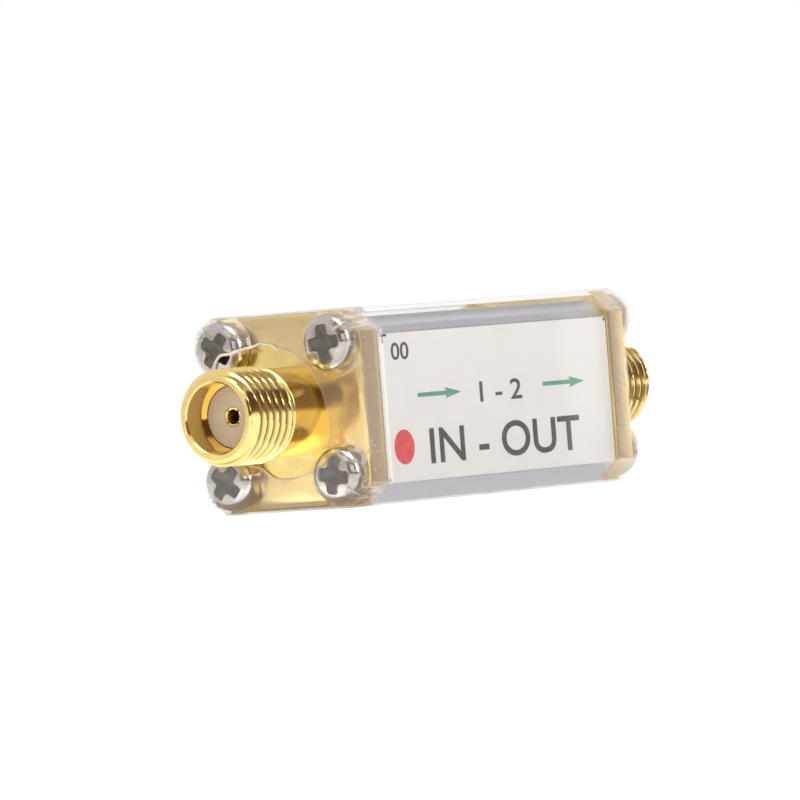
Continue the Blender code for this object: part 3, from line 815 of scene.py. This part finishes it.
def makeScrewBlank():
    # one screw with its seat at x = 0 and its head along X
    radius, height, crown = body["headDiameter"] / 2, body["headHeight"], screw["crownHeight"]
    shank, edge = screw["shankRadius"], screw["edge"]
    profile = [(-screw["length"], 0), (-screw["length"], shank * 2 / 3), (shank / 3 - screw["length"], shank),
               (0, shank), (0, radius - edge), (edge * 0.3, radius - edge * 0.3), (edge, radius),
               (height - crown, radius)]
    for step in range(1, screw["crownSteps"]):
        angle = pi / 2 * step / screw["crownSteps"]
        profile.append((height - crown * (1 - sin(angle)), radius * cos(angle) ** screw["crownFlatness"]))
    profile.append((height, 0))
    blank = addPiece("screwBlank", turned(profile, screw["facets"]), steel)
    recess = bmesh.new()
    rings = []
    for share, *sizes in screw["rings"]:
        x = height - share * screw["recessDepth"]
        rings.append([recess.verts.new((x, y, z)) for y, z in crossOutline(*sizes)])
    recess.faces.new(rings[0])
    point = recess.verts.new((height - screw["recessDepth"] * screw["recessPoint"], 0, 0))
    joinRings(recess, [*rings, [point]])
    cutWith(blank, recess)
    blank = plainMesh(blank)
    addBevel(blank, screw["recessBreak"], screw["breakFrom"])
    blank = plainMesh(blank, screw["sharpFrom"])
    grime = blank.data.attributes.new("grime", "FLOAT", "POINT")     # painted shade: 1 inside the recess
    unshaded, full = screw["shadedDepth"]
    for index, vertex in enumerate(blank.data.vertices):
        spread = hypot(vertex.co.y, vertex.co.z)
        dome = max(1 - (spread / radius) ** screw["domePower"], 0.0) ** 0.5
        depth = height - crown * (1 - dome) - vertex.co.x
        inside = spread < screw["recessReach"] and vertex.co.x > screw["recessFloor"]
        grime.data[index].value = clamped((depth - unshaded) / (full - unshaded)) if inside else 0.0
    return blank


def makeScrewTree():
    # one screw on every seat point; the points come in units of the two size inputs
    tree, given = newTree("flangeScrews", {"Geometry": "Geometry", "Seat Distance": "Float",
                                           "Hole Pitch": "Float", "Screw": "Object", "Metal": "Material"})
    position = addNode(tree, "GeometryNodeInputPosition")
    half = addNode(tree, "Math", {0: given["Hole Pitch"], 1: 0.5}, operation="MULTIPLY")
    sizes = addNode(tree, "CombineXYZ", {"X": given["Seat Distance"], "Y": half, "Z": half})
    seat = addNode(tree, "VectorMath", {0: position, 1: sizes}, operation="MULTIPLY")
    seats = addNode(tree, "GeometryNodeSetPosition", {"Geometry": given["Geometry"], "Position": seat})
    turn = addNode(tree, "GeometryNodeInputNamedAttribute", {"Name": "turn"}, data_type="FLOAT")
    heading = addNode(tree, "GeometryNodeInputNamedAttribute", {"Name": "heading"}, data_type="FLOAT")
    euler = addNode(tree, "CombineXYZ", {"X": turn, "Z": heading})
    facing = addNode(tree, "FunctionNodeEulerToRotation", {"Euler": euler})
    source = addNode(tree, "GeometryNodeObjectInfo", {"Object": given["Screw"]}).outputs["Geometry"]
    placed = addNode(tree, "GeometryNodeInstanceOnPoints", {"Points": seats, "Instance": source,
                                                            "Rotation": facing})
    return closeTree(tree, placed, given["Metal"])


def makeScrews():
    blank = makeScrewBlank()
    seats = bpy.data.meshes.new("flangeScrews")
    seats.from_pydata(list(screw["turns"]), [], [])
    turns = seats.attributes.new("turn", "FLOAT", "POINT")
    headings = seats.attributes.new("heading", "FLOAT", "POINT")
    for index, (place, angle) in enumerate(screw["turns"].items()):
        turns.data[index].value = radians(angle)
        headings.data[index].value = pi if place[0] < 0 else 0.0
    settings = {"Seat Distance": body["flangeFace"] + body["gap"], "Hole Pitch": body["holePitch"],
                "Screw": blank, "Metal": steel}
    screws = grownMesh("flangeScrews", makeScrewTree(), settings, seats)
    bpy.data.objects.remove(blank)
    names = [f"{end}_screw_{number}" for end in ("input", "output") for number in (1, 2, 3, 4)]
    standsFor(screws, "stainless_steel", *names)


makeScrews()
print("screws made")


# Label and its print

label = {
    "back": -6.09 * mm,
    "front": -6.14 * mm,
    "left": -13.10 * mm,
    "right": 13.47 * mm,
    "bottom": -5.12 * mm,
    "top": 4.62 * mm,
    "corner": 0.12 * mm,
    "cornerSteps": 3,
    "edgeBreak": 0.012 * mm,
    "printLift": 0.001 * mm,
    "printDepth": 0.006 * mm,
    "printWeight": 0.012,        # strokes thickened, in the font's own units
    "weld": 0.0005 * mm,
    "texts": [  # words, left, right, baseline, cap height (mm)
        ("00", -11.75, -9.75, 2.84, 1.14),
        ("1 - 2", -1.95, 2.95, -0.36, 1.36),
        ("IN - OUT", -8.1, 9.45, -4.12, 2.36),
    ],
    "arrows": [(-9.1, -4.1, 0.44), (5.45, 10.4, 0.46)],     # tail, tip, height (mm)
    "arrowShaft": 0.28,          # mm, as is the arrow's head (length, height) and the cut of its barbs
    "arrowHead": (1.7, 0.74),
    "arrowBarb": 0.12,
    "dot": (-11.02, -2.85, 1.14),           # X, Z, radius (mm)
    "dotTurn": 6,                # degrees from point to point
    "cornerMarks": [  # left, right, bottom, top (mm)
        (-12.9, -12.15, 4.42, 4.58), (-12.72, -12.56, 3.98, 4.42), (13.2, 13.4, 4.34, 4.56),
        (-12.95, -12.8, -5.0, -4.78),
    ],
}


def makeLabel():
    corner, steps = label["corner"], label["cornerSteps"]
    left, right = label["left"] + corner, label["right"] - corner
    bottom, top = label["bottom"] + corner, label["top"] - corner
    outline = []
    for quarter, (x, z) in enumerate([(right, top), (left, top), (left, bottom), (right, bottom)]):
        for step in range(steps + 1):
            angle = radians(90 * (quarter + step / steps))
            outline.append((x + corner * cos(angle), label["back"], z + corner * sin(angle)))
    sheet = addPiece("label", extruded(outline, (0, label["front"] - label["back"], 0)), paper)
    addBevel(sheet, label["edgeBreak"])
    sheet = plainMesh(sheet)
    sheet.name = "labelSheet"
    standsFor(sheet, "label_paper", "label")


def printedShape(name, outlines, ink):
    # flat shapes on the label, each a closed (x, z) outline in mm, as thin as a layer of ink
    front = label["front"] - label["printLift"]
    merged = bmesh.new()
    for outline in outlines:
        placed = [(x * mm, front, z * mm) for x, z in outline]
        mergeInto(merged, extruded(placed, (0, -label["printDepth"], 0)))
    standsFor(addPiece(name, merged, ink), "label_paper")


def printedWords(name, words, left, right, baseline, height):
    curve = bpy.data.curves.new(name, "FONT")
    curve.body = words
    curve.extrude = label["printDepth"] / mm / 2
    curve.offset = label["printWeight"]
    curve.resolution_u = 6
    lettering = addObject(name + "Text", curve)
    mesh = liveMesh(lettering)
    bpy.data.objects.remove(lettering)
    across = [vertex.co.x for vertex in mesh.vertices]
    upward = [vertex.co.y for vertex in mesh.vertices]
    scaleX = (right - left) * mm / (max(across) - min(across))
    scaleZ = height * mm / (max(upward) - min(upward))
    front = label["front"] - label["printLift"]
    for vertex in mesh.vertices:
        x, y, z = vertex.co
        vertex.co = (left * mm + (x - min(across)) * scaleX,
                     front - (z + curve.extrude) * mm,
                     baseline * mm + (y - min(upward)) * scaleZ)
    builder = bmesh.new()
    builder.from_mesh(mesh)
    bmesh.ops.remove_doubles(builder, verts=builder.verts, dist=label["weld"])
    bmesh.ops.recalc_face_normals(builder, faces=builder.faces)
    standsFor(addPiece(name, builder, greyInk), "label_paper")


def makePrint():
    headLength, headHeight = label["arrowHead"]
    half = label["arrowShaft"] / 2
    arrows = []
    for tail, tip, level in label["arrows"]:
        neck = tip - headLength
        barb = neck - label["arrowBarb"]
        arrows.append([(tail, level - half), (neck, level - half), (barb, level - headHeight / 2),
                       (tip, level), (barb, level + headHeight / 2), (neck, level + half),
                       (tail, level + half)])
    printedShape("directionArrows", arrows, greenInk)
    x, z, radius = label["dot"]
    angles = [radians(angle) for angle in range(0, 360, label["dotTurn"])]
    circle = [(x + radius * cos(angle), z + radius * sin(angle)) for angle in angles]
    printedShape("inputDot", [circle], redInk)
    marks = [[(left, bottom), (right, bottom), (right, top), (left, top)]
             for left, right, bottom, top in label["cornerMarks"]]
    printedShape("cutMarks", marks, greyInk)
    for number, (words, *places) in enumerate(label["texts"], 1):
        printedWords(f"lettering{number}", words, *places)


makeLabel()
makePrint()
print("label printed")


# Shrink film's shape

sleeve = {
    "wall": 0.12 * mm,
    "flangeOffset": 0.14 * mm,   # outer face of the film over the flange
    "cutGrowth": 0.586,          # what a chamfer gains from the offset, 2 less the root of 2
    "bodyHalf": 6.28 * mm,
    "bodyBottom": -6.46 * mm,
    "bodyTop": 6.41 * mm,
    "bodyCut": 1.252 * mm,
    "rounding": 0.3 * mm,
    "faceLift": 0.04 * mm,       # off the flange's face
    "domeHeight": 1.52 * mm,     # more than that over a screw head
    "crown": 1.4 * mm,           # flat reach over a head
    "skirt": 2.35 * mm,          # where the film meets the flange again
    "lipLift": 0.06 * mm,        # the free edge curls up
    "shoulder": 0.9 * mm,        # the film falls from the flange to the bar over this length
    "lipRings": 16,
    "cornerRings": 4,
    "sideRings": 4,
    "shoulderRings": 6,
    "barRings": 12,
    "longSteps": 60,
    "cutSteps": 16,
    "edgeRadius": 0.06 * mm,
    "edgeSides": 8,
    "edgeThickest": 65,          # degrees from +Y to +Z, where the cut edge is thicker
    "edgeSwell": 0.7,            # by this share of its radius
    "sharpFrom": 60,             # degrees between faces from which an edge is drawn sharp
    "waves": (320, 900),         # of the hot air's unevenness, per metre
    "fineWave": 0.5,             # height of the second one against the first
    "waveDepth": (0.012 * mm, 0.03 * mm),       # all over, and more of it at the flanges
    "waveZone": (13.4 * mm, 14.9 * mm),
    "folds": (500, 2200, 200),   # of the crumpled corners, per metre: along, across and around
    "foldPlace": 3,              # where in the noise they are taken
    "crumple": 0.24 * mm,        # height of the wrinkles at the flanges' corners
    "cornerZone": (4.9 * mm, 5.2 * mm),
    "cornerGain": 3,             # how much faster than the waves they rise along the film
    "sink": 0.5,                 # share of the height by which the film is drawn in
    "openings": {  # edge of the film round each barrel: angle from +Y to +Z, reach (mm)
        -1: [(0, 5.2), (32, 5.43), (45, 5.5), (56, 4.95), (69, 4.85), (77, 4.58), (89, 4.09), (118, 3.55),
             (148, 3.3), (180, 3.3), (216, 3.73), (258, 4.27), (284, 4.42), (303, 4.19), (316, 4.35),
             (340, 4.85)],
        1: [(0, 4.4), (50, 4.7), (100, 4.25), (150, 4.1), (190, 4.35), (235, 4.75), (280, 4.5), (320, 4.25)],
    },
}


def shareIn(value, zone):
    return clamped((value - zone[0]) / (zone[1] - zone[0]))


def openingReach(end, angle):
    # smooth curve through the opening's points, round the full turn
    points = sleeve["openings"][end]
    points = points + [(360, points[0][1])]
    angle %= 360
    for (first, reach), (last, nextReach) in zip(points, points[1:]):
        if first <= angle <= last:
            return (reach + (nextReach - reach) * eased((angle - first) / (last - first))) * mm


def filmRise(y, z):
    # height of the film over the flange: domes over the screws
    distance = hypot(abs(y) - body["holePitch"] / 2, abs(z) - body["holePitch"] / 2)
    fall = eased(shareIn(distance, (sleeve["crown"], sleeve["skirt"])))
    return sleeve["faceLift"] + sleeve["domeHeight"] * (1 - fall)


def sectionPoints(corners):
    points = []
    for index, (y0, z0) in enumerate(corners):
        y1, z1 = corners[(index + 1) % len(corners)]
        steps = sleeve["cutSteps"] if index % 2 else sleeve["longSteps"]
        for step in range(steps):
            share = step / steps
            points.append((y0 + (y1 - y0) * share, z0 + (z1 - z0) * share))
    return points


def flangeRing(grow):
    half = body["flangeSide"] / 2 + grow
    return sectionPoints(chamferedSection(half, -half, half, body["flangeCut"] + grow * sleeve["cutGrowth"]))


def filmHalf(end):
    # rings of the film's outer face, from the free edge at one opening to the middle of the bar
    offset, rounding = sleeve["flangeOffset"], sleeve["rounding"]
    face, shoulder = body["flangeFace"] + sleeve["wall"], body["housingHalf"]
    turnedIn, side = flangeRing(offset - rounding), flangeRing(offset)
    rings = []
    for step in range(sleeve["lipRings"] + 1):
        share = 1 - step / sleeve["lipRings"]
        ring = []
        for y, z in turnedIn:
            angle = atan2(z, y)
            reach = openingReach(end, degrees(angle))
            py = y + (reach * cos(angle) - y) * share
            pz = z + (reach * sin(angle) - z) * share
            ring.append((end * (face + filmRise(py, pz) + sleeve["lipLift"] * share ** 4), py, pz))
        rings.append(ring)
    for step in range(1, sleeve["cornerRings"] + 1):
        angle = pi / 2 * step / sleeve["cornerRings"]
        drop = rounding * (1 - cos(angle))
        outer = flangeRing(offset - rounding * (1 - sin(angle)))
        rings.append([(end * (face + filmRise(*inside) - drop), y, z)
                      for (y, z), inside in zip(outer, turnedIn)])
    last = rings[-1]
    for step in range(1, sleeve["sideRings"] + 1):
        share = step / sleeve["sideRings"]
        rings.append([(x + (end * shoulder - x) * share, y, z) for (x, _, _), (y, z) in zip(last, side)])
    bar = sectionPoints(chamferedSection(sleeve["bodyHalf"], sleeve["bodyBottom"], sleeve["bodyTop"],
                                         sleeve["bodyCut"]))
    for step in range(1, sleeve["shoulderRings"] + 1):
        share = step / sleeve["shoulderRings"]
        x = end * (shoulder - sleeve["shoulder"] * share)
        rings.append([(x, a + (c - a) * eased(share), b + (d - b) * eased(share))
                      for (a, b), (c, d) in zip(side, bar)])
    for step in range(1, sleeve["barRings"] + 1):
        x = end * (shoulder - sleeve["shoulder"]) * (1 - step / sleeve["barRings"])
        rings.append([(x, y, z) for y, z in bar])
    return rings


def makeFilmEdge():
    # the cut edge of the film, drawn up a little thicker by the heat, round both openings
    builder = bmesh.new()
    turns = [2 * pi * step / sleeve["edgeSides"] for step in range(sleeve["edgeSides"])]
    for end in (-1, 1):
        path = [Vector(point) for point in filmHalf(end)[0]]
        middle = sum(path, Vector()) / len(path)
        rings = []
        for index, spot in enumerate(path):
            ahead = (path[(index + 1) % len(path)] - path[index - 1]).normalized()
            outward = spot - middle
            outward = (outward - ahead * outward.dot(ahead)).normalized()
            upward = ahead.cross(outward)
            bearing = atan2(spot.z, spot.y) - radians(sleeve["edgeThickest"])
            radius = sleeve["edgeRadius"] * (1 + sleeve["edgeSwell"] * max(0.0, cos(bearing)) ** 2)
            centre = spot - Vector((end * sleeve["wall"] / 2, 0, 0))
            rings.append([builder.verts.new(centre + (outward * cos(turn) + upward * sin(turn)) * radius)
                          for turn in turns])
        joinRings(builder, rings, closed=True)
    standsFor(addPiece("filmEdge", builder, glintingEdge, sleeve["sharpFrom"]), "clear_film")


def makeFilm():
    builder = bmesh.new()
    rings = filmHalf(-1) + filmHalf(1)[::-1][1:]
    joinRings(builder, [[builder.verts.new(point) for point in ring] for ring in rings])
    limit = body["flangeSide"] / 2 + sleeve["flangeOffset"]
    broad, fine = sleeve["waves"]
    shallow, deeper = sleeve["waveDepth"]
    along, across, around = sleeve["folds"]
    for vertex in builder.verts:     # soft unevenness left by the hot air, and crumpled corners
        x, y, z = vertex.co
        spot = Vector((x, y, z))
        wave = noise.noise(spot * broad) + sleeve["fineWave"] * noise.noise(spot * fine)
        atFlange = shareIn(abs(x), sleeve["waveZone"])
        depth = (shallow + deeper * atFlange) * max(0.0, wave)
        crumple = noise.noise(Vector((x * along, (abs(y) - abs(z)) * across,
                                      sleeve["foldPlace"] + y * around)))
        atCorner = (shareIn(min(abs(y), abs(z)), sleeve["cornerZone"])
                    * min(atFlange * sleeve["cornerGain"], 1.0))
        depth -= sleeve["crumple"] * atCorner * max(0.0, crumple)
        inward = depth * sleeve["sink"] / hypot(y, z)
        vertex.co = (x, *(min(max(part - part * inward, -limit), limit) for part in (y, z)))
    bmesh.ops.recalc_face_normals(builder, faces=builder.faces)
    skin = addPiece("shrinkFilm", builder, film, sleeve["sharpFrom"])
    shell = skin.modifiers.new("wall", "SOLIDIFY")
    shell.thickness = sleeve["wall"]
    shell.offset = -1.0
    standsFor(plainMesh(skin, sleeve["sharpFrom"]), "clear_film", "shrink_sleeve")


makeFilm()
makeFilmEdge()
print("film shrunk on")


# Table, light and camera

studio = {
    "tableLevel": -6.49 * mm,
    "tableSize": 6.0,
    "table": "#f4f4f4",
    "tableGlow": 0.55,           # keeps the table white to the eye, under its shadow too
    "ambient": 0.5,              # world light on matt surfaces
    "lamps": [  # name, place (mm), size (mm), watts, seen in reflections
        ("topSoftbox", (-120, -160, 620), 420, 1.9, True),
        ("leftSoftbox", (-620, 160, 260), 320, 1.0, False),
        ("frontSoftbox", (-160, -640, 260), 320, 1.6, True),
    ],
    "cards": [  # seen only in reflections: name, centre (mm), facing, width, height (mm), shade, strength
        ("darkCameraSide", (-640, -456, 160), (-0.80, -0.57, 0.20), 1000, 640, "#5f4b46", 1.0),
        ("dimCardAbove", (-462, -35, 525), (-0.66, -0.05, 0.75), 400, 300, "#b5a598", 1.0),
        ("greyCardRight", (25.4, -42.2, 11.0), (0.82, -0.573, 0.0), 40, 35, "#90837c", 1.0),
        ("mildCardRight", (46.1, -12.7, 11.0), (0.82, -0.573, 0.0), 32, 35, "#e6e1da", 1.0),
        ("brightCardFar", (30.0, -9.5, 0), (0.82, -0.573, 0.0), 10, 14, "#fff8e8", 1.8),
        ("paleCardLeft", (-344, 241, 0), (-0.82, 0.573, 0.0), 340, 300, "#e0ddd9", 1.0),
        ("greyCardBack", (200, 148, 168), (0.67, 0.49, 0.56), 210, 180, "#c4beb7", 1.0),
        # painted shadow: a grey sheet under the flange's foot, standing in for its contact shadow in
        # reflections
        ("greyFoot", (-15.4, -0.5, -6.47), (0.0, 0.0, 1.0), 3.6, 17, "#bfb4a6", 1.0),
        ("greyTableRight", (6, -26, -6.47), (0.0, 0.0, 1.0), 46, 34, "#a3978c", 1.0),
        ("paleTableStrip", (0.5, -6.5, -6.47), (0.0, 0.0, 1.0), 27, 5, "#f4f2f2", 1.0),
        # painted highlights: bright sheets on the table standing in for the lamps' hot spot, in reflections
        ("brightSpot", (-29.7, -5, -6.47), (0.0, 0.0, 1.0), 24.7, 22, "#ffffff", 1.5),
        ("brightFoot", (-19.8, -0.5, -6.465), (0.0, 0.0, 1.0), 4.6, 9, "#ffffff", 2.6),
    ],
}
camera = {
    "place": (-544.85, -380.56, 5.04),      # mm
    "aim": (-0.780, 1.119, 0.130),
    "roll": -4.422,
    "lens": 450.91,
}
plainCorners = ((-0.5, -0.5), (0.5, -0.5), (0.5, 0.5), (-0.5, 0.5))


def addPlane(name, corners, material):
    builder = bmesh.new()
    builder.faces.new([builder.verts.new(corner) for corner in corners])
    return addPiece(name, builder, material)


def seenDirectly(tree):
    # 1 for the eye, in reflections and through the film, and 0 for the light on matt surfaces
    path = addNode(tree, "LightPath").outputs
    values = {kind: path[f"Is {kind} Ray"] for kind in ("Camera", "Glossy", "Transmission")}
    addSteps(tree, values, [("mirrored", "MAXIMUM", "Camera", "Glossy"),
                            ("seen", "MAXIMUM", "mirrored", "Transmission")])
    return values


def makeTable():
    size, level = studio["tableSize"], studio["tableLevel"]
    material = bpy.data.materials.new("whiteTable")
    tree = emptyTree(material)
    values = seenDirectly(tree)
    addSteps(tree, values, [("lift", "MULTIPLY", "seen", studio["tableGlow"])])
    matt = addNode(tree, "BsdfPrincipled", {
        "Base Color": srgb(studio["table"]), "Roughness": 0.9, "Specular IOR Level": 0.0,
        "Emission Color": srgb("#ffffff"), "Emission Strength": values["lift"]})
    corners = [(x * size, y * size, level) for x, y in plainCorners]
    addPlane("table", corners, closeMaterial(material, matt))


def makeWorld():
    world = bpy.data.worlds.new("whiteRoom")
    tree = emptyTree(world)
    values = seenDirectly(tree)
    addSteps(tree, values, [("strength", "RANGE", "seen", 0.0, 1.0, studio["ambient"], 1.0)])
    backdrop = addNode(tree, "Background", {"Color": srgb("#ffffff"), "Strength": values["strength"]})
    addNode(tree, "OutputWorld", {"Surface": backdrop})
    bpy.context.scene.world = world


def makeLamps():
    for name, place, size, watts, mirrored in studio["lamps"]:
        lamp = bpy.data.lights.new(name, "AREA")
        lamp.shape = "SQUARE"
        lamp.size = size * mm
        lamp.energy = watts
        holder = addObject(name, lamp)
        holder.location = Vector(place) * mm
        holder.rotation_euler = (-Vector(place)).to_track_quat("-Z", "Y").to_euler()
        holder.visible_glossy = mirrored


def makeCards():
    for name, centre, facing, width, height, shade, strength in studio["cards"]:
        turn = Vector(facing).to_track_quat("Z", "Y")
        corners = [(Vector(centre) + turn @ Vector((a * width, b * height, 0))) * mm for a, b in plainCorners]
        material = bpy.data.materials.new(name)
        glow = addNode(emptyTree(material), "Emission", {"Color": srgb(shade), "Strength": strength})
        card = addPlane(name, corners, closeMaterial(material, glow))
        card.visible_camera = False
        card.visible_diffuse = False
        card.visible_transmission = False
        card.visible_shadow = False


def makeCamera():
    lens = bpy.data.cameras.new("photoCamera")
    lens.lens = camera["lens"]
    lens.sensor_width = 36.0
    lens.clip_start = 0.01
    lens.clip_end = 50.0
    holder = addObject("photoCamera", lens)
    place = Vector(camera["place"]) * mm
    aim = Vector(camera["aim"]) * mm
    level = (aim - place).to_track_quat("-Z", "Y")
    holder.location = place
    holder.rotation_mode = "QUATERNION"
    holder.rotation_quaternion = level @ Quaternion((0, 0, 1), radians(camera["roll"]))
    bpy.context.scene.camera = holder


makeTable()
makeWorld()
makeLamps()
makeCards()
makeCamera()
bpy.context.scene.view_settings.view_transform = "Standard"
print("table, light and camera set")
